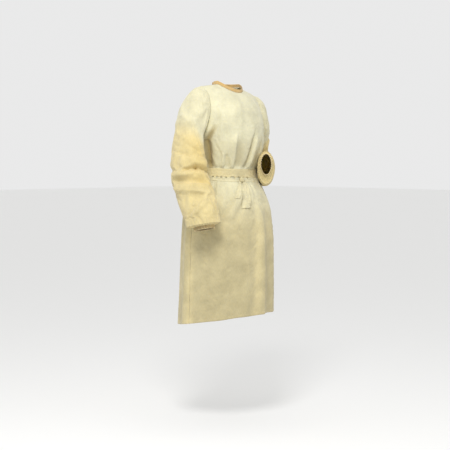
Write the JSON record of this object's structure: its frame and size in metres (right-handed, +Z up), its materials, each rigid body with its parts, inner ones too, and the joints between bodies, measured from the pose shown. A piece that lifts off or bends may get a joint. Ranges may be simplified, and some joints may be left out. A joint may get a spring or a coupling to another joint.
{
  "type": "procedure gown",
  "caption": "Hollow long-sleeved procedure gown in its worn shape, knee length, with a belt tied in front, gathered cuffs and an overlapping back.",
  "frame": {"origin": "middle of the neckline, level with the sides of the neck, where the wearer's shoulders hold the gown up", "axes": "+Z up, -Y the way the wearer faces, +X the wearer's left"},
  "size_m": [0.5518, 0.363, 0.9822],
  "materials": {
    "cloth": "matte nonwoven",
    "trim": "matte nonwoven, doubled"
  },
  "bodies": {
    "root": {"front_panel": "cloth", "back_panel_left": "cloth", "back_panel_right": "cloth", "sleeve_left": "cloth", "sleeve_right": "cloth", "cuff_left": "trim", "cuff_right": "trim", "belt": "cloth", "tie_wrap": "cloth", "tie_knot": "cloth", "tie_end_long": "cloth", "tie_end_short": "cloth", "neck_binding": "trim", "neck_knot": "trim", "neck_tie_left": "trim", "neck_tie_right": "trim"}
  },
  "joints": []
}
